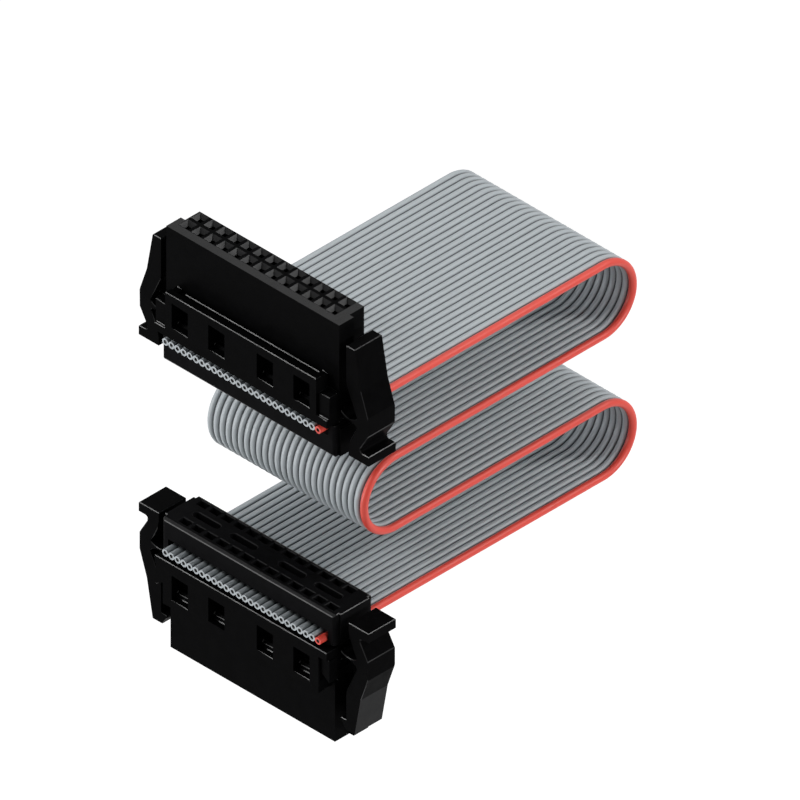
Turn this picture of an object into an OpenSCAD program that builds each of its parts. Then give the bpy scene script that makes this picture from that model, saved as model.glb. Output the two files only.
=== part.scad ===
// Ribbon cable with a two-row latching socket connector on each end.
//
// The ribbon leaves both connectors towards +Y and is folded in an S, so the two
// connectors stand one over the other: the lower one faces down, the upper one up.
// Frame: X along the connectors, towards the marked edge wire; Y along the ribbon's runs,
// away from the cut ends; Z up. The origin is the centre of the lower mating face.
// A connector is drawn with its mating face at Z = 0, and the upper one is the same
// connector turned half a turn about X.

/* [Ribbon] */
// Contacts in each of a connector's two rows, one wire for each
contacts_per_row = 13; // [7:1:17]
// Distance between neighbouring contacts of one row; the wires lie half as far apart
contact_pitch = 1.27; // [1.2:0.01:1.6]
// Outer diameter of one wire's insulation
wire_d = 0.61; // [0.5:0.01:0.62]
// Diameter of the conductor inside it
core_d = 0.3; // [0.2:0.01:0.32]
// Thickness of the web that bonds neighbouring wires
web_t = 0.2; // [0.1:0.02:0.3]
// Distance between the ribbon's stacked runs, from centre to centre
run_pitch = 6.33; // [5.4:0.01:9]
// Centre of the two folds on the far side, measured along Y
far_fold_y = 26.9; // [15:0.1:60]
// Centre of the fold on the connector side, measured along Y
near_fold_y = 5.3; // [5:0.1:12]

/* [Housing] */
// Depth of the mating nose, across the two rows
nose_d = 3.03; // [2.9:0.01:3.2]
// End wall of the nose beyond the outermost wire's centre
nose_end = 1.05; // [1:0.01:1.4]
// Step at both ends that makes the front half of the nose shorter
key_step = 0.44; // [0.2:0.01:0.5]
// Height of the wires' centres above the mating face
wire_h = 9.35; // [9:0.05:12]
// Depth of the housing over its two window walls
wall_span = 5.56; // [5.2:0.01:6]
// Thickness of a window wall
wall_t = 0.6; // [0.4:0.05:0.7]
// Height of the window walls' free edge above the mating face
wall_bottom = 4.75; // [3:0.05:5]
// Distance from the rear window wall's end to the nose's end face
wall_inset = 1.14; // [1:0.02:1.3]
// How much farther out the front window wall ends
front_wall_reach = 0.24; // [0:0.02:0.3]
// Width of a window
window_w = 1.68; // [1:0.02:2]
// Height of a window
window_h = 2.2; // [1:0.05:2.6]
// Distance between the centres of two windows at one end
window_step = 3.81; // [2.5:0.01:4.2]

/* [Cover] */
// Depth of the cover, across the wires
cover_d = 3.98; // [3.7:0.02:4.4]
// Height of the cover's outer face above the wires' centres
cover_h = 2.4; // [2:0.05:3]
// Width of the slots over the contacts' tips
tip_slot_w = 0.96; // [0.8:0.02:1]
// Length of the round-ended pockets between the two rows of slots
pocket_l = 2.7; // [1.5:0.1:3]
// Depth of these pockets
pocket_depth = 1.2; // [0.4:0.1:1.5]

/* [Contacts] */
// Distance between the two rows at the mating face
row_pitch = 1.27; // [1.2:0.01:1.3]
// Width of the lead-in funnels at the mating face
funnel_w = 0.97; // [0.8:0.01:1]
// Depth of the lead-in funnels
funnel_depth = 0.33; // [0.2:0.01:0.6]
// Width of the square hole that a pin enters
pin_hole_w = 0.4; // [0.36:0.01:0.5]
// Distance between the two rows of wire forks
fork_span = 2.47; // [2.3:0.01:2.6]
// Thickness of the sheet that the contacts are stamped from
contact_t = 0.2; // [0.15:0.01:0.24]

/* [Latches] */
// Width of a latch along Y
latch_w = 2.84; // [2:0.02:3.4]
// Overall height of the press tab above the mating face
tab_top = 11.33; // [10.8:0.05:12]
// Thickness of the press tab
tab_t = 0.87; // [0.5:0.01:1]
// Reach of the press tab beyond the nose's end face
tab_reach = 2.96; // [2.6:0.02:4]
// Gap between the press tab and the nose's end face
tab_gap = 0.88; // [0.7:0.02:1]
// Height of the hook's catching face above the mating face
hook_h = 2.47; // [2:0.05:3]
// Height of the latch's pivot above the mating face
pivot_h = 8; // [7.6:0.05:8.2]
// Radius of the round bead that the latch turns on
bead_r = 0.45; // [0.4:0.01:0.48]

/* [Hidden] */
$fn = 36;

BLACK = [0.05, 0.05, 0.055];
BLACK_COVER = [0.07, 0.07, 0.075];
GREY = [0.59, 0.61, 0.62];
RED = [0.88, 0.27, 0.22];
TIN = [0.75, 0.72, 0.66];

// Clearances
eps = 0.01;           // overlap of a cutting tool past a face
part_gap = 0.03;      // round a contact in its cavity, and round a wire in its groove
core_gap = 0.01;      // between a conductor and what surrounds it
pivot_gap = 0.04;     // round the pivot bead, in radius

// Ribbon
wires = 2 * contacts_per_row;
wire_pitch = contact_pitch / 2;
wire_span = (wires - 1) * wire_pitch;
wire_r = wire_d / 2;
core_r = core_d / 2;
core_bore_r = core_r + core_gap;
cut_y = -2.68;        // plane of the ribbon's cut ends in both connectors
fold_r = run_pitch / 2;
stack_h = 2 * wire_h + 3 * run_pitch;   // lower mating face to upper mating face

// Housing heights
rim_h = wire_h - 0.6;       // top of the window walls, below the wires
roof_h = wire_h - 1.35;     // underside of the roof that ties the walls to the nose
cradle_h = wire_h - 0.2;    // top of the ribs between the wires' grooves
post_h = wire_h - 0.4;      // seat of the cover's end legs
web_h = wall_bottom + 0.12; // underside of the webs that close a window wall's ends
fill_h = wall_bottom + 0.45;    // underside of the fill between a window wall and the nose
root_bottom = 6;            // underside of the block that carries a latch
root_ledge_h = 6.8;         // ledge across that block's end face
ear_bottom = 5.97;          // underside of the ears, at their outer end
ear_rise = [0.65, 0.13];    // rise of the front and rear ears' underside towards their wall
window_z = 6.6;             // centre height of the windows
recess_h = [window_z - window_h / 2 + 0.4, window_z + window_h / 2 - 0.08];
recess_flare = 0.15;        // slope at the mouth of the recess behind a window

// Housing lengths and depths, as half widths from the centre
nose_x = wire_span / 2 + nose_end;
nose_front_x = nose_x - key_step;
nose_y = nose_d / 2;
wall_x = [nose_x - wall_inset + front_wall_reach, nose_x - wall_inset];     // front, rear
wall_y = wall_span / 2;
window_in = 2.66;           // from the nose's end face to the first window's centre
recess_y = nose_y + 0.085;
rim_x = nose_x - 0.05;
root_x = nose_front_x - 1;  // inner end of the block that carries a latch
ear_x = nose_x + 0.04;
ear_y = [latch_w / 2 + 0.34, wall_y - 0.21];
cradle_x = wire_span / 2 + wire_r + 0.05;
cradle_y = 1.9;
post_y = 1.45;

// Contact rows: the rows sit nearer to the nose's shorter front side
funnel_margin = 0.035;      // between the front funnels and the nose's front face
mate_y = [-nose_y + funnel_margin + funnel_w / 2, -nose_y + funnel_margin + funnel_w / 2 + row_pitch];
fork_y = [0.045 - fork_span / 2, 0.045 + fork_span / 2];
fork_shift = [wire_pitch, 0];   // sideways step from the pin to the wire it serves

// Contact heights and half widths
throat_h = 0.9;             // where the square hole opens into the contact's cavity
beam_tip_h = 1.2;
beam_touch_h = 1.9;
base_h = 5;
jog_h = 5.5;
neck_h = 5.75;
fork_h = 6.3;
fork_slot_h = wire_h - 0.45;
fork_top = wire_h + 1.55;
beam_x = 0.3;
beam_t = 0.12;
beam_touch_x = 0.17;
beam_flare = 0.08;
beam_half_y = 0.2;
jog_half_x = 0.2;
tine_in = core_r + core_gap;
tine_out = tine_in + 0.13;
tine_lead = [0.35, 0.02];    // height of the fork's lead-in, and width left at its tip
blade_half_y = contact_t / 2;
cavity_x = 0.42;
cavity_y = 0.34;

// Cover
cover_top = wire_h + cover_h;
cover_bottom = wire_h + 0.2;
cover_x = nose_x - 0.05;
cover_y = cover_d / 2;
cover_corner_r = 0.25;
cover_chamfer = 0.2;
cover_relief = 0.5;         // slope under the long edges that clears the wires
tongue_x = cover_x + 0.2;
tongue_y = 1.5;
tip_slot_d = 0.6;
pocket_w = 0.6;

// Latch profile, outwards from the nose's end face
latch_y = latch_w / 2;
belly_out = 2.87;           // outermost face of the arm
arm_in = 0.64;              // inner face of the arm's lower half
arch_in = 1.73;             // inner face at the bridge
arm_inner = [               // inner face, upwards from its lower half to the tab
    [arm_in, pivot_h - 3.3], [arm_in + 0.07, pivot_h - 2.75], [arch_in, pivot_h - 0.55],
    [arch_in, pivot_h + 0.5], [1.36, pivot_h + 1.1], [1.06, pivot_h + 1.8], [tab_gap, pivot_h + 2.6]
];
neck_r = 0.25;              // hollow between the tab and the slope below it
neck_c = [2.3, tab_top - tab_t - neck_r];
neck_slope = 30;            // of the outer face below the tab, from upright
neck_end = neck_c - neck_r * [cos(neck_slope), sin(neck_slope)];
belly_h = neck_end.y - (belly_out - neck_end.x) / tan(neck_slope);
latch_bottom = 1.53;
arm_outer = [               // outer face, downwards from the belly to the blunt end
    [belly_out, pivot_h - 0.95], [2.12, pivot_h - 3.05], [1.5, latch_bottom]
];
hook_in = 0.06;             // tip of the hook
hook_t = 0.22;              // thickness of the hook at its tip
hook_foot = 0.1;            // reach of the hook's underside from the arm
hook_y = -0.05;             // the hook stays in front of this, where the nose is shorter
pivot_x = rim_x - 0.33;     // the bead lies inside the rim
bead_y = latch_y - 0.47;
bridge_in = ear_x + 0.03;   // inner end of the bridge, clear of the housing
bridge_t = [0.33, 0.28];    // the bridge's ends, above and below the pivot
waist_t = [0.17, 0.03];     // its middle, above and below the pivot
bridge_fillet = 0.12;
stem_t = 0.64;              // between the bridge and the bead
mouth_t = 0.8;              // opening that the bridge swings in, less than the bead

function wire_x(i) = -wire_span / 2 + i * wire_pitch;
function pin_x(k) = wire_x(2 * k);
function window_x() = [
    for (side = [-1, 1], step = [0, 1]) side * (nose_x - window_in - step * window_step)
];

// A box given by its lowest and highest corner
module box(low, high) {
    translate(low) cube(high - low);
}

// An outline in X and Z, extruded from -half_y to +half_y
module across_y(half_y) {
    translate([0, half_y, 0]) rotate([90, 0, 0]) linear_extrude(2 * half_y) children();
}

// An outline in Y and Z, extruded from -half_x to +half_x
module across_x(half_x) {
    translate([-half_x, 0, 0]) rotate([90, 0, 90]) linear_extrude(2 * half_x) children();
}

// A rod along Y
module rod_y(r, half_y) {
    translate([0, half_y, 0]) rotate([90, 0, 0]) cylinder(r = r, h = 2 * half_y);
}

module both_ends() {
    children();
    mirror([1, 0, 0]) children();
}

module upper_place() {
    translate([0, 0, stack_h]) rotate([180, 0, 0]) children();
}

// ---------------------------------------------------------------- contacts

// Outline of one spring beam that wipes a side of the pin
module beam_outline() {
    polygon([
        [beam_x - beam_t, base_h + eps],
        [beam_touch_x, beam_touch_h],
        [beam_touch_x + beam_flare, beam_tip_h],
        [beam_touch_x + beam_flare + beam_t, beam_tip_h],
        [beam_touch_x + beam_t, beam_touch_h],
        [beam_x, base_h + eps]
    ]);
}

// Forked blade that cuts into the insulation and holds the conductor
module fork_outline() {
    difference() {
        translate([-tine_out, fork_h]) square([2 * tine_out, fork_top - fork_h]);
        translate([-tine_in, fork_slot_h]) square([2 * tine_in, fork_top - fork_slot_h + eps]);
        translate([0, fork_slot_h]) circle(r = tine_in);
        polygon([
            [-tine_in, fork_top - tine_lead[0]], [-tine_out + tine_lead[1], fork_top + eps],
            [tine_out - tine_lead[1], fork_top + eps], [tine_in, fork_top - tine_lead[0]]
        ]);
    }
}

// One stamped contact, with its pin axis at X = 0
module contact(row) {
    mid = mate_y[row];
    blade = fork_y[row];
    shift = fork_shift[row];
    translate([0, mid, 0]) {
        across_y(beam_half_y) beam_outline();
        mirror([1, 0, 0]) across_y(beam_half_y) beam_outline();
        box([-beam_x, -beam_half_y, base_h], [beam_x, beam_half_y, jog_h]);
    }
    box(
        [-jog_half_x, min(mid, blade) - blade_half_y, jog_h - eps],
        [shift + jog_half_x, max(mid, blade) + blade_half_y, neck_h]
    );
    translate([shift, blade, 0]) {
        box([-jog_half_x, -blade_half_y, neck_h - eps], [jog_half_x, blade_half_y, fork_h + eps]);
        across_y(blade_half_y) fork_outline();
    }
}

module contact_row(row) {
    color(TIN) for (k = [0 : contacts_per_row - 1]) translate([pin_x(k), 0, 0]) contact(row);
}

// Square funnel that leads a pin into its hole
module funnel() {
    wide = funnel_w / 2;
    slim = pin_hole_w / 2;
    intersection() {
        across_y(wide) polygon([[-wide, 0], [wide, 0], [slim, funnel_depth], [-slim, funnel_depth]]);
        across_x(wide) polygon([[-wide, 0], [wide, 0], [slim, funnel_depth], [-slim, funnel_depth]]);
    }
}

// Everything that one contact's place takes out of the housing
module contact_cavity(row) {
    mid = mate_y[row];
    blade = fork_y[row];
    shift = fork_shift[row];
    slim = pin_hole_w / 2;
    gap = part_gap;
    translate([0, mid, 0]) {
        funnel();
        box([-slim, -slim, funnel_depth - eps], [slim, slim, throat_h + eps]);
        box([-cavity_x, -cavity_y, throat_h], [cavity_x, cavity_y, base_h - gap]);
        box(
            [-beam_x - gap, -beam_half_y - gap, base_h - gap - eps],
            [beam_x + gap, beam_half_y + gap, jog_h + gap]
        );
    }
    box(
        [-jog_half_x - gap, min(mid, blade) - blade_half_y - gap, jog_h - gap],
        [shift + jog_half_x + gap, max(mid, blade) + blade_half_y + gap, neck_h + gap]
    );
    translate([shift, blade, 0]) box(
        [-tine_out - gap, -blade_half_y - gap, neck_h],
        [tine_out + gap, blade_half_y + gap, cradle_h + eps]
    );
}

// ---------------------------------------------------------------- housing

module nose_outline() {
    polygon([
        [-nose_front_x, -nose_y], [nose_front_x, -nose_y], [nose_front_x, 0], [nose_x, 0],
        [nose_x, nose_y], [-nose_x, nose_y], [-nose_x, 0], [-nose_front_x, 0]
    ]);
}

// Block at the +X end that carries a latch, with a ledge across its end face
module latch_root() {
    box([root_x, -ear_y[0] - eps, root_bottom], [nose_x, ear_y[0] + eps, root_ledge_h]);
    box([root_x, -ear_y[0] - eps, root_bottom], [rim_x, ear_y[0] + eps, roof_h + eps]);
}

// Side view of the ear beside a latch, from an end of window wall i to just past the rim
module ear_outline(i) {
    polygon([
        [wall_x[i] - eps, ear_bottom + ear_rise[i]], [ear_x, ear_bottom], [ear_x, roof_h],
        [rim_x - eps, roof_h], [rim_x - eps, roof_h + eps], [wall_x[i] - eps, roof_h + eps]
    ]);
}

// Window wall i, drawn at -Y, with the fill and the webs that tie it to the nose, and its ears
module window_wall(i) {
    x = wall_x[i];
    inner_y = -wall_y + wall_t;
    box([-x, -wall_y, wall_bottom], [x, inner_y, roof_h + eps]);
    box([-x, inner_y - eps, fill_h], [x, -nose_y + eps, roof_h + eps]);
    both_ends() box([x - wall_t, inner_y - eps, web_h], [x, -nose_y + eps, roof_h + eps]);
    both_ends() translate([0, -(ear_y[0] + ear_y[1]) / 2, 0])
        across_y((ear_y[1] - ear_y[0]) / 2) ear_outline(i);
}

// What a window takes out of a wall at -Y: its opening and a flared recess behind it
module window() {
    inner_y = -wall_y + wall_t;
    box(
        [-window_w / 2, -wall_y - eps, window_z - window_h / 2],
        [window_w / 2, inner_y, window_z + window_h / 2]
    );
    across_x(window_w / 2) polygon([
        [inner_y - eps, recess_h[0]], [inner_y + recess_flare, recess_h[0] + recess_flare],
        [-recess_y, recess_h[0] + recess_flare], [-recess_y, recess_h[1] - recess_flare],
        [inner_y + recess_flare, recess_h[1] - recess_flare], [inner_y - eps, recess_h[1]]
    ]);
}

// Round socket that a latch's bead snaps into, with the mouth its bridge swings in
module pivot_socket() {
    translate([pivot_x, 0, pivot_h]) {
        rod_y(bead_r + pivot_gap, bead_y + pivot_gap);
        box(
            [0, -bead_y - pivot_gap, -mouth_t / 2],
            [nose_x - pivot_x + eps, bead_y + pivot_gap, mouth_t / 2]
        );
    }
}

// Grooves that locate the wires, cut from -half_y to half_y
module wire_grooves(half_y) {
    for (i = [0 : wires - 1]) translate([wire_x(i), 0, wire_h]) rod_y(wire_r + part_gap, half_y);
}

module housing() {
    color(BLACK) difference() {
        union() {
            linear_extrude(root_ledge_h) nose_outline();
            box([-rim_x, -nose_y, root_ledge_h - eps], [rim_x, nose_y, roof_h + eps]);
            box([-rim_x, -wall_y, roof_h], [rim_x, wall_y, rim_h]);
            window_wall(0);
            mirror([0, 1, 0]) window_wall(1);
            both_ends() latch_root();
            both_ends() box([cradle_x - eps, -post_y, rim_h - eps], [rim_x, post_y, post_h]);
            box([-cradle_x, -cradle_y, rim_h - eps], [cradle_x, cradle_y, cradle_h]);
        }
        for (x = window_x(), side = [0, 1]) translate([x, 0, 0]) mirror([0, side, 0]) window();
        both_ends() pivot_socket();
        wire_grooves(cradle_y + eps);
        for (row = [0, 1], k = [0 : contacts_per_row - 1]) translate([pin_x(k), 0, 0]) contact_cavity(row);
    }
}

// ---------------------------------------------------------------- cover

module cover_plan() {
    r = cover_corner_r;
    square([2 * cover_x, 2 * (cover_y - r)], center = true);
    square([2 * (cover_x - r), 2 * cover_y], center = true);
    for (sx = [-1, 1], sy = [-1, 1]) translate([sx * (cover_x - r), sy * (cover_y - r)]) circle(r = r);
}

module cover_section() {
    polygon([
        [-cover_y + cover_relief, cover_bottom], [cover_y - cover_relief, cover_bottom],
        [cover_y, cover_bottom + cover_relief], [cover_y, cover_top - cover_chamfer],
        [cover_y - cover_chamfer, cover_top], [-cover_y + cover_chamfer, cover_top],
        [-cover_y, cover_top - cover_chamfer], [-cover_y, cover_bottom + cover_relief]
    ]);
}

// Round-ended pocket in the cover's outer face
module oval_pocket() {
    reach = (pocket_l - pocket_w) / 2;
    translate([0, 0, cover_top - pocket_depth]) linear_extrude(pocket_depth + eps) {
        square([2 * reach, pocket_w], center = true);
        for (side = [-1, 1]) translate([side * reach, 0]) circle(d = pocket_w);
    }
}

module cover() {
    color(BLACK_COVER) difference() {
        union() {
            intersection() {
                linear_extrude(cover_top + eps) cover_plan();
                across_x(cover_x) cover_section();
            }
            both_ends() box([cradle_x + part_gap, -tongue_y, wire_h], [tongue_x, tongue_y, cover_top]);
            both_ends() intersection() {
                linear_extrude(cover_top) cover_plan();
                box(
                    [cradle_x + part_gap, -cover_y, post_h],
                    [cover_x, cover_y, cover_bottom + cover_relief + eps]
                );
            }
        }
        wire_grooves(cover_y);
        for (row = [0, 1], k = [0 : contacts_per_row - 1])
            translate([pin_x(k) + fork_shift[row], fork_y[row], 0]) box(
                [-tip_slot_w / 2, -tip_slot_d / 2, wire_h],
                [tip_slot_w / 2, tip_slot_d / 2, cover_top + eps]
            );
        for (x = window_x()) translate([x, (fork_y[0] + fork_y[1]) / 2, 0]) oval_pocket();
    }
}

// ---------------------------------------------------------------- latches

// Side view of a latch's arm: press tab, neck and belly, down to a blunt end
module arm_outline() {
    difference() {
        polygon(concat(
            [
                [tab_gap, tab_top], [tab_reach, tab_top], [tab_reach, tab_top - tab_t],
                [neck_c.x, tab_top - tab_t], neck_end, [belly_out, belly_h]
            ],
            arm_outer, [[arm_in, latch_bottom]], arm_inner
        ));
        translate(neck_c) circle(r = neck_r);
    }
}

// Side view of the hook, which catches with its upper face
module hook_outline() {
    polygon([
        [hook_in, hook_h], [arm_in + eps, hook_h], [arm_in + eps, latch_bottom],
        [arm_in - hook_foot, latch_bottom], [hook_in, hook_h - hook_t]
    ]);
}

// Side view of the bridge from X = 0 to the arm, thin in the middle and filleted at both ends
module bridge_outline(reach) {
    half = reach / 2 - bridge_fillet;
    difference() {
        translate([0, -bridge_t[1]]) square([reach + eps, bridge_t[0] + bridge_t[1]]);
        for (side = [0, 1]) {
            sag = bridge_t[side] - waist_t[side];
            bow_r = (half * half + sag * sag) / (2 * sag);
            translate([reach / 2, (1 - 2 * side) * (waist_t[side] + bow_r)]) circle(r = bow_r);
        }
    }
    translate([reach / 2, 0]) both_ends() polygon([
        [-reach / 2, -bridge_t[1] - bridge_fillet], [-half, -bridge_t[1]],
        [-half, bridge_t[0]], [-reach / 2, bridge_t[0] + bridge_fillet]
    ]);
}

// One latch with its bridge and pivot bead, at the +X end
module latch() {
    color(BLACK) {
        translate([nose_x, 0, 0]) across_y(latch_y) arm_outline();
        translate([nose_x, (hook_y - latch_y) / 2, 0]) across_y((hook_y + latch_y) / 2) hook_outline();
        translate([bridge_in, 0, pivot_h]) across_y(latch_y)
            bridge_outline(nose_x + arch_in - bridge_in);
        box([pivot_x, -bead_y, pivot_h - stem_t / 2], [bridge_in + eps, bead_y, pivot_h + stem_t / 2]);
        translate([pivot_x, 0, pivot_h]) rod_y(bead_r, bead_y);
    }
}

// ---------------------------------------------------------------- ribbon

// Sweeps a section, drawn with X across the ribbon, through the four runs and three folds
module along_ribbon() {
    for (run = [0, 3]) translate([0, far_fold_y, wire_h + run * run_pitch])
        rotate([90, 0, 0]) linear_extrude(far_fold_y - cut_y) children();
    for (run = [1, 2]) translate([0, far_fold_y, wire_h + run * run_pitch])
        rotate([90, 0, 0]) linear_extrude(far_fold_y - near_fold_y) children();
    for (run = [0, 2]) translate([0, far_fold_y, wire_h + (run + 0.5) * run_pitch])
        fold() children();
    translate([0, near_fold_y, wire_h + 1.5 * run_pitch]) mirror([0, 1, 0]) fold() children();
}

// Half a turn about X that bulges towards +Y
module fold() {
    rotate([0, 90, 0]) rotate_extrude(angle = 180) translate([fold_r, 0]) rotate(90) children();
}

// Section of the insulation of wires first to last, bonded edge to edge
module insulation_section(first, last) {
    low = wire_x(first) - (first > 0 ? wire_pitch / 2 : 0);
    high = wire_x(last) + (last < wires - 1 ? wire_pitch / 2 : 0);
    difference() {
        union() {
            for (i = [first : last]) translate([wire_x(i), 0]) circle(r = wire_r);
            translate([low, -web_t / 2]) square([high - low, web_t]);
        }
        for (i = [first : last]) translate([wire_x(i), 0]) circle(r = core_bore_r);
    }
}

// Slits that the forks of one connector leave in the insulation
module fork_slits(first, last) {
    half_x = (tine_out - tine_in) / 2 + core_gap;
    half_y = blade_half_y + core_gap;
    half_z = wire_r + eps;
    for (i = [first : last], side = [-1, 1])
        translate([wire_x(i) + side * (tine_in + tine_out) / 2, fork_y[(i + 1) % 2], wire_h])
            box([-half_x, -half_y, -half_z], [half_x, half_y, half_z]);
}

module insulation(first, last) {
    difference() {
        along_ribbon() insulation_section(first, last);
        fork_slits(first, last);
        upper_place() fork_slits(first, last);
    }
}

module lower_housing() { housing(); }
module lower_cover() { cover(); }
module lower_contacts_odd() { contact_row(0); }
module lower_contacts_even() { contact_row(1); }
module lower_latch_left() { mirror([1, 0, 0]) latch(); }
module lower_latch_right() { latch(); }
module upper_housing() { upper_place() housing(); }
module upper_cover() { upper_place() cover(); }
module upper_contacts_odd() { upper_place() contact_row(0); }
module upper_contacts_even() { upper_place() contact_row(1); }
module upper_latch_left() { upper_place() mirror([1, 0, 0]) latch(); }
module upper_latch_right() { upper_place() latch(); }
module ribbon_insulation() { color(GREY) insulation(0, wires - 2); }
module marked_wire() { color(RED) insulation(wires - 1, wires - 1); }
module conductors() {
    color(TIN) for (i = [0 : wires - 1]) along_ribbon() translate([wire_x(i), 0]) circle(r = core_r);
}

lower_housing();
lower_cover();
lower_contacts_odd();
lower_contacts_even();
lower_latch_left();
lower_latch_right();
upper_housing();
upper_cover();
upper_contacts_odd();
upper_contacts_even();
upper_latch_left();
upper_latch_right();
ribbon_insulation();
marked_wire();
conductors();
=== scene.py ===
"""Looks of a ribbon cable: two black latching socket connectors on a folded grey flat cable.

Lengths are in metres. X runs along the connectors, Y along the ribbon's runs, Z up, and the
origin is the centre of the lower connector's mating face.
"""

import math

import bmesh
import bpy
from mathutils import Matrix, Vector


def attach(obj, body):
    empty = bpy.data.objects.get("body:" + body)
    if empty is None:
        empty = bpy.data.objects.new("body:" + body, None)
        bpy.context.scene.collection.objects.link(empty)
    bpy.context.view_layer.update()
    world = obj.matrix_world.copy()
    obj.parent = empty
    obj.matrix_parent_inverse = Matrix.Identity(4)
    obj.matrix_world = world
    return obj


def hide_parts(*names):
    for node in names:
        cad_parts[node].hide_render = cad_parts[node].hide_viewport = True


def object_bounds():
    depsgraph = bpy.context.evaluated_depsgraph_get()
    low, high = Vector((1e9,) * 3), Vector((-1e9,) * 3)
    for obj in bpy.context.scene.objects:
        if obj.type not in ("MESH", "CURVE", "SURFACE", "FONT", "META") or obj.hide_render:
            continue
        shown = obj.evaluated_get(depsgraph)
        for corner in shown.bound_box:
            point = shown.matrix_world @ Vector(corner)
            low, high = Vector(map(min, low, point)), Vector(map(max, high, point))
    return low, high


MM = 0.001

# The ribbon's route, as in the part's source
CUT_Y = -2.68 * MM                  # both cut ends
NEAR_FOLD_Y = 5.3 * MM              # centre of the fold on the connectors' side
FAR_FOLD_Y = 26.9 * MM              # centres of the two folds on the far side
RUN_PITCH = 6.33 * MM               # from one run up to the next
WIRE_H = 9.35 * MM                  # height of the lowest run's wires
FOLD_R = RUN_PITCH / 2
RUNS = 4
FOLD_STEPS = 40                     # stretches along one fold

# The ribbon's section, as in the part's source
WIRES = 26
WIRE_PITCH = 0.635 * MM
WIRE_R = 0.305 * MM
WEB_HALF = 0.1 * MM                 # half the height of the bond between two wires
ARC_STEPS = 9                       # facets of a wire's upper or lower side
SIDE_STEPS = 4                      # facets of an edge wire's free side
SHARP_ANGLE = math.radians(50)      # edges of the wires stay sharp from this angle on
RING_WELD = 0.0001 * MM             # neighbouring wires' points this close are one

# The cut ends of the ribbon
CORE_R = 0.15 * MM
CORE_SIDES = 20
CORE_SUNK = 0.1 * MM                # the conductors' ends lie this far behind the insulation's
BORE_R = 0.16 * MM                  # the hole in the insulation round a conductor's end
BORE_DEPTH = 0.6 * MM

# Broken edges of the mouldings
WELD = 0.001 * MM                   # points this close are one, and heights this close are level
FLAT_ANGLE = math.radians(1)        # facets that differ less become one face
EDGE_WIDTH = 0.05 * MM
EDGE_SHORTEST = 0.12 * MM           # shorter edges stay sharp, except on a rounded surface
EDGE_ANGLE = math.radians(25)       # blunter edges stay as they are
EDGE_ROOM = 3 * EDGE_WIDTH          # a face narrower than this has no room for a chamfer
EDGE_UPRIGHT = 0.97                 # an edge whose direction has a larger Z is upright
STRIP_WIDTH = 0.16 * MM             # facets narrower than this belong to a rounded surface

# Places in a connector: X and Y from its mating face's centre, heights from that face
FUNNEL_DEPTH = 0.33 * MM
FUNNEL_RIM = 0.04 * MM              # the grained lattice reaches this far round the funnels
CONTACTS_X = 8.3 * MM               # the hidden space of the contacts
CONTACTS_Y = 1.5 * MM
CONTACTS_TOP = 9.5 * MM
GROOVES_X = 8.35 * MM               # the hidden grooves of the wires
GROOVES_LOW = 8.85 * MM
GROOVES_TOP = 9.75 * MM
SLOTS_X = 8.6 * MM                  # the part of the cover with slots in it
SLOTS_Y = 1.75 * MM
CHAMFER_LOW = 11.5 * MM             # the cover's chamfer lies above this

# Slopes, as parts of a face's unit normal
SLOPING = (0.1, 0.9)                # Z of a face that is neither upright nor level
SIDEWAYS = 0.5                      # a funnel's side wall has a larger X than this
END_FACET = 0.9                     # a facet on the outside of a lever has a larger X than this
SMALL_LEAN = 0.25                   # a facet that leans down less than this mirrors the floor

# Finishes of the black plastic, as places in a moulding's list of materials
GRAINED, SATIN, POLISHED, PAINTED_SHEEN = range(4)

# Specular level, least and greatest roughness of each finish
FINISHES = {
    GRAINED: (0.006, 0.32, 0.44),   # nearly everything
    SATIN: (0.06, 0.38, 0.48),      # funnels, the cover's chamfer and slots, low lever facets
    POLISHED: (0.2, 0.24, 0.32),    # the mating face's border and the broken edges
    PAINTED_SHEEN: (0.28, 0.38, 0.48),     # the funnels' side walls, glossier for a painted sheen
}

# Colours, as linear values
BLACK = (0.0029, 0.0029, 0.0031)
BLACK_COVER = (0.0065, 0.0065, 0.007)
GREY = (0.505, 0.548, 0.575)
RED = (0.86, 0.08, 0.055)
# the conductors' tinned copper, darkened to paint the shade in their bores
COPPER_PAINTED_DARK = (0.1, 0.095, 0.09)
PLATING = (0.78, 0.7, 0.5)

# Textures, and painted shade for the wires' grooves
NOISE_RANGE = (0.3, 0.7)            # most of a noise texture lies between these
GROOVE_REACH = 0.25 * MM            # a wall nearer than this darkens the wires' grooves with painted shade
GROOVE_OPEN = (0.4, 0.85)           # openness where the painted shade is deepest and where it ends
GROOVE_PAINTED_SHADE_TONE = 0.12                  # tone of the deepest painted shade

# Each connector's mouldings: part, body, or None where it has its own, and material slot
MOULDINGS = (
    ("housing", "cable", "connector_plastic"),
    ("cover", "cable", "cover_plastic"),
    ("latch_left", None, "latch_plastic"),
    ("latch_right", None, "latch_plastic"),
)

# Camera: sees the front, the right and the top at equal angles
VIEW_FROM = (1, -1, 1)
VIEW_WIDTH = 58.8 * MM
VIEW_CLIP = (0.01, 10)
CAMERA_AWAY = 0.3

# Studio
FLOOR_DROP = 0.08                   # from the object down to the floor
FLOOR_SIZE = 3.0
FLOOR_TONE = 0.55
FLOOR_GLOW = 0.75                   # lifts the seen floor to white
WORLD_LEVEL = 0.04
LAMP_AWAY = 0.4

# Lamps: direction from the object, size and watts
LAMPS = {
    "top": ((-0.1, 0.2, 1), 0.35, 0.64),
    "front_left": ((-1, -1.1, 1), 0.06, 0.38),      # mirrored by the front's upper edges
    "front_low": ((-1, -1.5, 0.05), 0.2, 0.8),
    "back_right": ((1, 1, 1), 0.06, 0.33),          # mirrored by the right end's upper edges
    "right": ((1, 0.1, 0.2), 0.1, 0.65),
}

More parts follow.
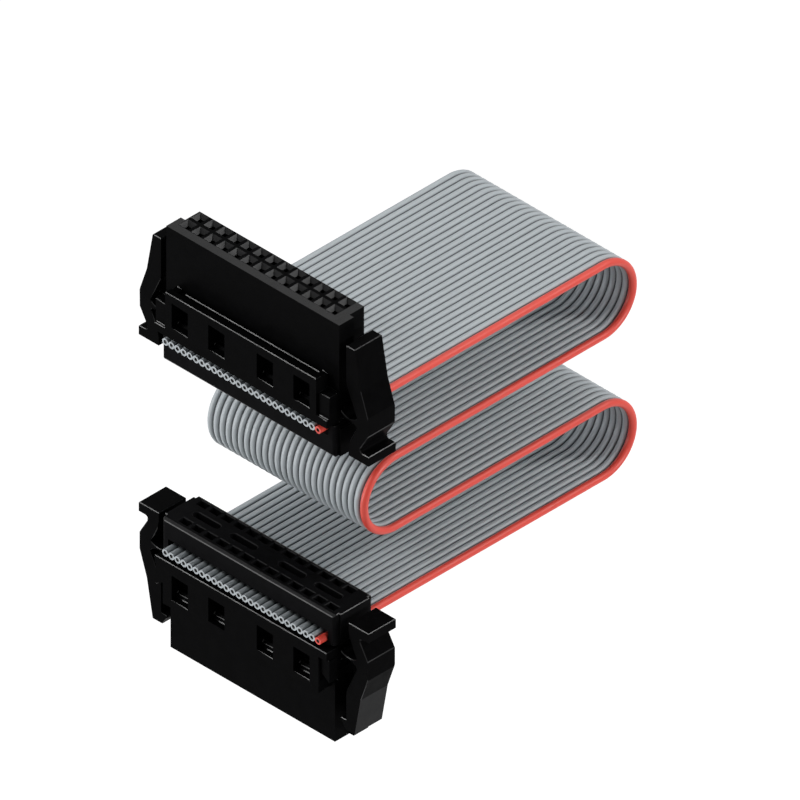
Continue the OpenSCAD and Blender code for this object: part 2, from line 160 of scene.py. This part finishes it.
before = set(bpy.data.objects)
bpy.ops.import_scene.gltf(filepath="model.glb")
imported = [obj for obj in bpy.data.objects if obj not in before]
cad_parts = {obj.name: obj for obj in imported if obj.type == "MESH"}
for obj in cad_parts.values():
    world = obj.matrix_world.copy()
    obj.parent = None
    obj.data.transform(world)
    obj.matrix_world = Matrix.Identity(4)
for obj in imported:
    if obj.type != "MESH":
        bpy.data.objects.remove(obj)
cad_low, cad_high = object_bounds()


# ---------------------------------------------------------------- camera and studio


def make_camera(middle):
    """An orthographic camera that looks at the object's middle."""
    data = bpy.data.cameras.new("camera")
    data.type = "ORTHO"
    data.ortho_scale = VIEW_WIDTH
    data.clip_start, data.clip_end = VIEW_CLIP
    camera = bpy.data.objects.new("camera", data)
    place_looking(camera, middle, VIEW_FROM, CAMERA_AWAY)
    bpy.context.scene.camera = camera


def area_lamp(name, middle, direction, size, watts):
    """A square area lamp that shines on the object's middle from a direction."""
    data = bpy.data.lights.new(name, "AREA")
    data.size = size
    data.energy = watts
    lamp = bpy.data.objects.new(name, data)
    lamp.visible_camera = False
    place_looking(lamp, middle, direction, LAMP_AWAY)


def place_looking(obj, target, direction, away):
    """Links an object and puts it away from a target in a direction, turned to face it."""
    bpy.context.scene.collection.objects.link(obj)
    back = Vector(direction).normalized()
    obj.location = target + back * away
    obj.rotation_mode = "QUATERNION"
    obj.rotation_quaternion = (-back).to_track_quat("-Z", "Y")


def make_world():
    """Soft white light from all round, full white where it is seen or mirrored."""
    world = bpy.data.worlds.new("studio")
    bpy.context.scene.world = world
    world.use_nodes = True
    tree = world.node_tree
    tree.nodes.clear()
    output = tree.nodes.new("ShaderNodeOutputWorld")
    mix = tree.nodes.new("ShaderNodeMixShader")
    lit = tree.nodes.new("ShaderNodeBackground")
    seen = tree.nodes.new("ShaderNodeBackground")
    lit.inputs["Color"].default_value = (1, 1, 1, 1)
    lit.inputs["Strength"].default_value = WORLD_LEVEL
    seen.inputs["Color"].default_value = (1, 1, 1, 1)
    seen.inputs["Strength"].default_value = 1
    tree.links.new(seen_directly(tree), mix.inputs["Fac"])
    tree.links.new(lit.outputs[0], mix.inputs[1])
    tree.links.new(seen.outputs[0], mix.inputs[2])
    tree.links.new(mix.outputs[0], output.inputs["Surface"])


def seen_directly(tree):
    """A socket that is 1 for camera, glossy and transmission rays."""
    path = tree.nodes.new("ShaderNodeLightPath")
    either = path.outputs["Is Camera Ray"]
    for name in ("Is Glossy Ray", "Is Transmission Ray"):
        larger = tree.nodes.new("ShaderNodeMath")
        larger.operation = "MAXIMUM"
        tree.links.new(either, larger.inputs[0])
        tree.links.new(path.outputs[name], larger.inputs[1])
        either = larger.outputs[0]
    return either


def make_floor(low):
    """A plain pale floor well below the object."""
    bm = bmesh.new()
    bmesh.ops.create_grid(bm, x_segments=1, y_segments=1, size=FLOOR_SIZE / 2)
    floor = add_mesh("floor", bm)
    floor.location = (0, 0, low.z - FLOOR_DROP)
    material, tree, shader, _ = new_material("floor")
    shader.inputs["Base Color"].default_value = (FLOOR_TONE, FLOOR_TONE, FLOOR_TONE, 1)
    shader.inputs["Roughness"].default_value = 0.9
    shader.inputs["Specular IOR Level"].default_value = 0
    shader.inputs["Emission Color"].default_value = (1, 1, 1, 1)
    glow = tree.nodes.new("ShaderNodeMath")
    glow.operation = "MULTIPLY"
    glow.inputs[1].default_value = FLOOR_GLOW
    tree.links.new(seen_directly(tree), glow.inputs[0])
    tree.links.new(glow.outputs[0], shader.inputs["Emission Strength"])
    floor.data.materials.append(material)


# ---------------------------------------------------------------- the ribbon's meshes


def add_mesh(name, bm, materials=()):
    """Turns a bmesh into a linked object."""
    mesh = bpy.data.meshes.new(name)
    bm.to_mesh(mesh)
    bm.free()
    for material in materials:
        mesh.materials.append(material)
    obj = bpy.data.objects.new(name, mesh)
    bpy.context.scene.collection.objects.link(obj)
    return obj


def wire_x(index):
    """The X of a wire's centre, from index 0 at -X to the red edge wire at +X."""
    return (index - (WIRES - 1) / 2) * WIRE_PITCH


def route():
    """Stations along the ribbon: centre (y, z) and unit normal (y, z) of its upper side."""
    stations = []
    for run in range(RUNS):
        z = WIRE_H + run * RUN_PITCH
        away = run % 2 == 0
        side = 1 if away else -1
        near = CUT_Y if run in (0, RUNS - 1) else NEAR_FOLD_Y
        start, end = (near, FAR_FOLD_Y) if away else (FAR_FOLD_Y, near)
        stations.append(((start, z), (0, side)))
        stations.append(((end, z), (0, side)))
        if run == RUNS - 1:
            break
        for step in range(1, FOLD_STEPS):
            angle = math.pi * step / FOLD_STEPS
            outwards = (side * math.sin(angle), -math.cos(angle))
            point = (end + FOLD_R * outwards[0], z + FOLD_R + FOLD_R * outwards[1])
            stations.append((point, (-side * outwards[0], -side * outwards[1])))
    return stations


def wire_arc(start, end, steps):
    """Points of an arc of a wire's surface, in a section of the ribbon."""
    angles = [start + (end - start) * step / steps for step in range(steps + 1)]
    return [(WIRE_R * math.cos(angle), WIRE_R * math.sin(angle)) for angle in angles]


def cell_outline(first, last):
    """Outline of one wire and its half of the bonds, round where an edge wire has no neighbour."""
    web_angle = math.asin(WEB_HALF / WIRE_R)
    half = WIRE_PITCH / 2
    points = wire_arc(math.pi - web_angle, web_angle, ARC_STEPS)
    if last:
        points += wire_arc(web_angle, -web_angle, SIDE_STEPS)[1:-1]
    else:
        points += [(half, WEB_HALF), (half, 0), (half, -WEB_HALF)]
    points += wire_arc(-web_angle, web_angle - math.pi, ARC_STEPS)
    if first:
        points += wire_arc(math.pi + web_angle, math.pi - web_angle, SIDE_STEPS)[1:-1]
    else:
        points += [(-half, -WEB_HALF), (-half, 0), (-half, WEB_HALF)]
    return points


def insulation_mesh(name, indices, material):
    """Wires bonded side by side, swept along the route, with a bored cut face at both ends."""
    bm = bmesh.new()
    stations = route()
    for index in indices:
        outline = cell_outline(index == 0, index == WIRES - 1)
        rings = []
        for (y, z), (up_y, up_z) in stations:
            rings.append([
                bm.verts.new((wire_x(index) + across, y + up * up_y, z + up * up_z))
                for across, up in outline
            ])
        joined_left = index != indices[0]
        joined_right = index != indices[-1]
        for ring, next_ring in zip(rings, rings[1:]):
            for k, n in neighbours(outline):
                sides = (outline[k][0], outline[n][0])
                inside = (
                    (joined_right and min(sides) > WIRE_R)
                    or (joined_left and max(sides) < -WIRE_R)
                )
                if not inside:
                    bm.faces.new((ring[k], ring[n], next_ring[n], next_ring[k]))
        cut_face(bm, rings[0], stations[0], wire_x(index), outline)
        cut_face(bm, rings[-1], stations[-1], wire_x(index), outline)
    bmesh.ops.remove_doubles(bm, verts=bm.verts, dist=RING_WELD)
    bmesh.ops.recalc_face_normals(bm, faces=bm.faces)
    for face in bm.faces:
        face.smooth = True
    piece = add_mesh(name, bm, [material])
    piece.data.set_sharp_from_angle(angle=SHARP_ANGLE)
    return piece


def neighbours(outline):
    """Each point's number in a closed outline, with the next point's."""
    return [(k, (k + 1) % len(outline)) for k in range(len(outline))]


def cut_face(bm, ring, station, x, outline):
    """The cut end of one wire, with a short bore round its conductor."""
    (y, z), (up_y, up_z) = station
    mouth, bottom = [], []
    for across, up in outline:
        angle = math.atan2(up, across)
        bore_x = x + BORE_R * math.cos(angle)
        bore_up = BORE_R * math.sin(angle)
        bore_y, bore_z = y + bore_up * up_y, z + bore_up * up_z
        mouth.append(bm.verts.new((bore_x, bore_y, bore_z)))
        bottom.append(bm.verts.new((bore_x, bore_y + BORE_DEPTH, bore_z)))
    for k, n in neighbours(outline):
        bm.faces.new((ring[k], ring[n], mouth[n], mouth[k]))
        bm.faces.new((mouth[k], mouth[n], bottom[n], bottom[k]))
    bm.faces.new(bottom)


def conductor_mesh(name, material):
    """The stubs of the conductors that show at the ribbon's cut ends."""
    bm = bmesh.new()
    along_y = Matrix.Rotation(math.pi / 2, 4, "X")
    for (y, z), _ in (route()[0], route()[-1]):
        for index in range(WIRES):
            middle = (wire_x(index), y + (BORE_DEPTH + CORE_SUNK) / 2, z)
            made = bmesh.ops.create_cone(
                bm, cap_ends=True, segments=CORE_SIDES, radius1=CORE_R, radius2=CORE_R,
                depth=BORE_DEPTH - CORE_SUNK, matrix=Matrix.Translation(middle) @ along_y,
            )
            for vert in made["verts"]:
                for face in vert.link_faces:
                    face.smooth = len(face.verts) == 4
    return add_mesh(name, bm, [material])


# ---------------------------------------------------------------- the mouldings' meshes


def eased(name, node, mating_z, plastics):
    """A copy of a moulded CAD node with broken edges, in plastics of four finishes."""
    bm = bmesh.new()
    bm.from_mesh(node.data)
    bm.transform(node.matrix_world)
    bmesh.ops.remove_doubles(bm, verts=bm.verts, dist=WELD)
    bm.normal_update()
    for face in bm.faces:
        face.material_index = moulded_finish(face, mating_z)
    polish_border(bm, mating_z)
    bmesh.ops.dissolve_limit(
        bm, angle_limit=FLAT_ANGLE, verts=bm.verts, edges=bm.edges, delimit={"MATERIAL"},
    )
    bm.normal_update()
    for face in bm.faces:
        face.smooth = is_strip(face)
    break_edges(bm, mating_z)
    bmesh.ops.triangulate(bm, faces=bm.faces)
    return add_mesh(name, bm, plastics)


def moulded_finish(face, mating_z):
    """The finish of a face: grained, except for some slopes; funnel walls facing sideways get a
    painted sheen.
    """
    heights = [abs(vert.co.z - mating_z) for vert in face.verts]
    if not SLOPING[0] < abs(face.normal.z) < SLOPING[1]:
        return GRAINED
    if max(heights) < FUNNEL_DEPTH + WELD:
        # funnel walls that face sideways get a glossier copy that mirrors the lamps more: painted
        # sheen
        return PAINTED_SHEEN if abs(face.normal.x) > SIDEWAYS else SATIN
    if min(heights) > CHAMFER_LOW or mirrors_floor(face):
        return SATIN
    return GRAINED


def mirrors_floor(face):
    """True for a lever's outer facet that leans down so little that it mirrors the pale floor."""
    outwards = face.normal.x * face.calc_center_median().x > 0
    return outwards and abs(face.normal.x) > END_FACET and -SMALL_LEAN < face.normal.z < 0


def polish_border(bm, mating_z):
    """Gives the mating face the polished finish, except for the lattice between the funnels."""
    def is_mating(vert):
        return abs(vert.co.z - mating_z) < WELD

    def mating_faces():
        return [face for face in bm.faces if all(is_mating(vert) for vert in face.verts)]

    funnels = [face for face in bm.faces if face.material_index != GRAINED]
    mouths = [vert.co for face in funnels for vert in face.verts if is_mating(vert)]
    if not mouths:      # only a housing has funnels
        return
    low = [min(co[axis] for co in mouths) - FUNNEL_RIM for axis in (0, 1)]
    high = [max(co[axis] for co in mouths) + FUNNEL_RIM for axis in (0, 1)]
    for axis in (0, 1):
        across = Vector((axis == 0, axis == 1, 0))
        for level in (low[axis], high[axis]):
            faces = mating_faces()
            edges = dict.fromkeys(edge for face in faces for edge in face.edges)
            verts = dict.fromkeys(vert for face in faces for vert in face.verts)
            bmesh.ops.bisect_plane(
                bm, geom=[*verts, *edges, *faces], plane_co=across * level, plane_no=across,
            )
    for face in mating_faces():
        place = face.calc_center_median()
        if not all(low[axis] < place[axis] < high[axis] for axis in (0, 1)):
            face.material_index = POLISHED


def break_edges(bm, mating_z):
    """Chamfers the sharp edges that show: polished, but satin round the cover's slots."""
    made = bmesh.ops.bevel(
        bm, geom=[edge for edge in bm.edges if is_broken(edge, mating_z)], offset=EDGE_WIDTH,
        offset_type="OFFSET", segments=1, profile=0.5, affect="EDGES", clamp_overlap=False,
        material=POLISHED,
    )
    for face in made["faces"]:
        face.smooth = False
        x, y, height = place_in_connector(face.calc_center_median(), mating_z)
        if x < SLOTS_X and y < SLOTS_Y and height > CONTACTS_TOP:
            face.material_index = SATIN


def place_in_connector(co, mating_z):
    """How far a point lies from its mating face's centre in X and Y, and from that face."""
    return abs(co.x), abs(co.y), abs(co.z - mating_z)


def is_strip(face):
    """True for a narrow facet of a rounded surface."""
    return face.calc_area() < STRIP_WIDTH * max(edge.calc_length() for edge in face.edges)


def is_hidden(vert, mating_z):
    """True at the mating face, in the contacts' space and in the wires' grooves."""
    x, y, height = place_in_connector(vert.co, mating_z)
    return (
        height < FUNNEL_DEPTH + WELD
        or (x < CONTACTS_X and y < CONTACTS_Y and height < CONTACTS_TOP)
        or (x < GROOVES_X and GROOVES_LOW < height < GROOVES_TOP)
    )


def is_broken(edge, mating_z):
    """True for a sharp edge that shows, isn't upright and has room for its chamfer."""
    length = edge.calc_length()
    if not edge.is_manifold or edge.calc_face_angle() < EDGE_ANGLE:
        return False
    if any(is_hidden(vert, mating_z) for vert in edge.verts):
        return False
    if length < EDGE_SHORTEST and not any(is_strip(face) for face in edge.link_faces):
        return False
    if any(face.calc_area() < EDGE_ROOM * length for face in edge.link_faces):
        return False
    along = edge.verts[1].co - edge.verts[0].co
    return abs(along.normalized().z) < EDGE_UPRIGHT


# ---------------------------------------------------------------- textures and painted shade


def noise(tree, vector, size, detail):
    """A noise texture whose features are about size metres across."""
    node = tree.nodes.new("ShaderNodeTexNoise")
    node.inputs["Scale"].default_value = 1 / size
    node.inputs["Detail"].default_value = detail
    tree.links.new(vector, node.inputs["Vector"])
    return node.outputs["Fac"]


def mapped(tree, value, source, target):
    """Maps a value from one range onto another."""
    node = tree.nodes.new("ShaderNodeMapRange")
    node.inputs["From Min"].default_value, node.inputs["From Max"].default_value = source
    node.inputs["To Min"].default_value, node.inputs["To Max"].default_value = target
    tree.links.new(value, node.inputs["Value"])
    return node.outputs["Result"]


def spread(tree, value, low, high):
    """Spreads a noise over the range from low to high."""
    return mapped(tree, value, NOISE_RANGE, (low, high))


def times(tree, value, factor):
    """A colour socket times a factor that varies over the surface."""
    node = tree.nodes.new("ShaderNodeMix")
    node.data_type = "RGBA"
    node.blend_type = "MULTIPLY"
    node.inputs["Factor"].default_value = 1
    tree.links.new(value, node.inputs["A"])
    tree.links.new(factor, node.inputs["B"])
    return node.outputs["Result"]


def shaded(tree, color, factor):
    """A plain colour times a factor that varies over the surface."""
    plain = tree.nodes.new("ShaderNodeRGB")
    plain.outputs["Color"].default_value = (*color, 1)
    return times(tree, plain.outputs["Color"], factor)


def painted_groove_shade(tree):
    """Painted shade in the grooves between the wires, deepest where a wall lies near."""
    crevice = tree.nodes.new("ShaderNodeAmbientOcclusion")
    crevice.inputs["Distance"].default_value = GROOVE_REACH
    crevice.samples = 8
    # the occlusion darkens the wires' colour here: painted shade
    return mapped(tree, crevice.outputs["AO"], GROOVE_OPEN, (GROOVE_PAINTED_SHADE_TONE, 1))


def bumped(tree, height, distance, strength):
    """The normal of a surface with a bump of that height."""
    node = tree.nodes.new("ShaderNodeBump")
    node.inputs["Distance"].default_value = distance
    node.inputs["Strength"].default_value = strength
    tree.links.new(height, node.inputs["Height"])
    return node.outputs["Normal"]


# ---------------------------------------------------------------- materials


def new_material(name):
    """A material with its node tree, its shader and the object's own coordinates."""
    material = bpy.data.materials.new(name)
    material.use_nodes = True
    tree = material.node_tree
    shader = tree.nodes["Principled BSDF"]
    place = tree.nodes.new("ShaderNodeTexCoord").outputs["Object"]
    return material, tree, shader, place


def moulded_plastic(name, color, finish):
    """Black glass-filled plastic with a fine moulded grain."""
    specular, smoothest, roughest = FINISHES[finish]
    material, tree, shader, place = new_material(name)
    mottle = noise(tree, place, size=0.9 * MM, detail=3)
    grain = noise(tree, place, size=0.05 * MM, detail=2)
    toned = shaded(tree, color, spread(tree, mottle, low=0.85, high=1.15))
    tree.links.new(toned, shader.inputs["Base Color"])
    tree.links.new(spread(tree, mottle, smoothest, roughest), shader.inputs["Roughness"])
    fine_bump = bumped(tree, grain, distance=0.004 * MM, strength=0.5)
    tree.links.new(fine_bump, shader.inputs["Normal"])
    shader.inputs["Specular IOR Level"].default_value = specular
    return material


def wire_insulation(name, color):
    """Extruded PVC: each wire's own tone, faint streaks along it, a soft gloss, and painted shade
    in the grooves.
    """
    material, tree, shader, place = new_material(name)
    parts = tree.nodes.new("ShaderNodeSeparateXYZ")
    tree.links.new(place, parts.inputs["Vector"])
    across = tree.nodes.new("ShaderNodeCombineXYZ")
    tree.links.new(parts.outputs["X"], across.inputs["X"])
    wires = noise(tree, across.outputs["Vector"], size=0.55 * MM, detail=1)
    streaks = noise(tree, across.outputs["Vector"], size=0.04 * MM, detail=2)
    patches = noise(tree, place, size=2.5 * MM, detail=2)
    toned = shaded(tree, color, spread(tree, wires, low=0.97, high=1.03))
    patchy = times(tree, toned, spread(tree, patches, low=0.975, high=1.025))
    # the colour is darkened by the painted shade in the grooves
    tree.links.new(times(tree, patchy, painted_groove_shade(tree)), shader.inputs["Base Color"])
    gloss = spread(tree, patches, low=0.33, high=0.43)
    tree.links.new(gloss, shader.inputs["Roughness"])
    ridges = bumped(tree, streaks, distance=0.002 * MM, strength=0.4)
    tree.links.new(ridges, shader.inputs["Normal"])
    shader.inputs["Specular IOR Level"].default_value = 0.45
    return material


def metal(name, color, smoothest, roughest):
    """Drawn or stamped metal, a little uneven in tone and gloss."""
    material, tree, shader, place = new_material(name)
    drawn = noise(tree, place, size=0.08 * MM, detail=2)
    toned = shaded(tree, color, spread(tree, drawn, low=0.85, high=1.05))
    tree.links.new(toned, shader.inputs["Base Color"])
    tree.links.new(spread(tree, drawn, smoothest, roughest), shader.inputs["Roughness"])
    shader.inputs["Metallic"].default_value = 1
    return material


# ---------------------------------------------------------------- pieces


def make_ribbon():
    """The bonded grey wires, the red edge wire and the conductors' ends, on the cable body."""
    grey = wire_insulation("grey_insulation", GREY)
    ribbon = insulation_mesh("ribbon", range(WIRES - 1), grey)
    red = wire_insulation("red_insulation", RED)
    red_wire = insulation_mesh("red_wire", [WIRES - 1], red)
    # the conductors' metal is darkened: painted shade in the bores at the cut ends
    tinned = metal("tinned_copper", COPPER_PAINTED_DARK, smoothest=0.34, roughest=0.46)
    cores = conductor_mesh("conductor_ends", tinned)
    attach(ribbon, "cable")
    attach(red_wire, "cable")
    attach(cores, "cable")
    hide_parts("ribbon_insulation")
    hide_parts("marked_wire")
    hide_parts("conductors")


def make_connectors():
    """Both connectors: four mouldings with broken edges, and the plating of the contacts."""
    grained = {
        "connector_plastic": moulded_plastic("connector_plastic", BLACK, GRAINED),
        "cover_plastic": moulded_plastic("cover_plastic", BLACK_COVER, GRAINED),
    }
    grained["latch_plastic"] = grained["connector_plastic"]
    smoother = [
        moulded_plastic("satin_plastic", BLACK_COVER, SATIN),
        moulded_plastic("polished_plastic", BLACK_COVER, POLISHED),
        moulded_plastic("painted_sheen_plastic", BLACK_COVER, PAINTED_SHEEN),
    ]
    for end, mating_z in (("lower", cad_low.z), ("upper", cad_high.z)):
        for part, body, slot in MOULDINGS:
            node_name = f"{end}_{part}"
            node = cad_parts[node_name]
            piece = eased(f"{node_name}_eased", node, mating_z, [grained[slot], *smoother])
            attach(piece, body or node_name)
            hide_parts(node_name)
        plating = metal(f"{end}_contact_metal", PLATING, smoothest=0.22, roughest=0.34)
        for row in ("odd", "even"):
            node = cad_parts[f"{end}_contacts_{row}"]
            node.data.materials.clear()
            node.data.materials.append(plating)


# ---------------------------------------------------------------- scene

cad_middle = (cad_low + cad_high) / 2
make_camera(cad_middle)
make_ribbon()
make_connectors()
make_world()
make_floor(cad_low)
for lamp_name, (lamp_direction, lamp_size, lamp_watts) in LAMPS.items():
    area_lamp(lamp_name, cad_middle, lamp_direction, lamp_size, lamp_watts)

bpy.context.scene.view_settings.view_transform = "Standard"
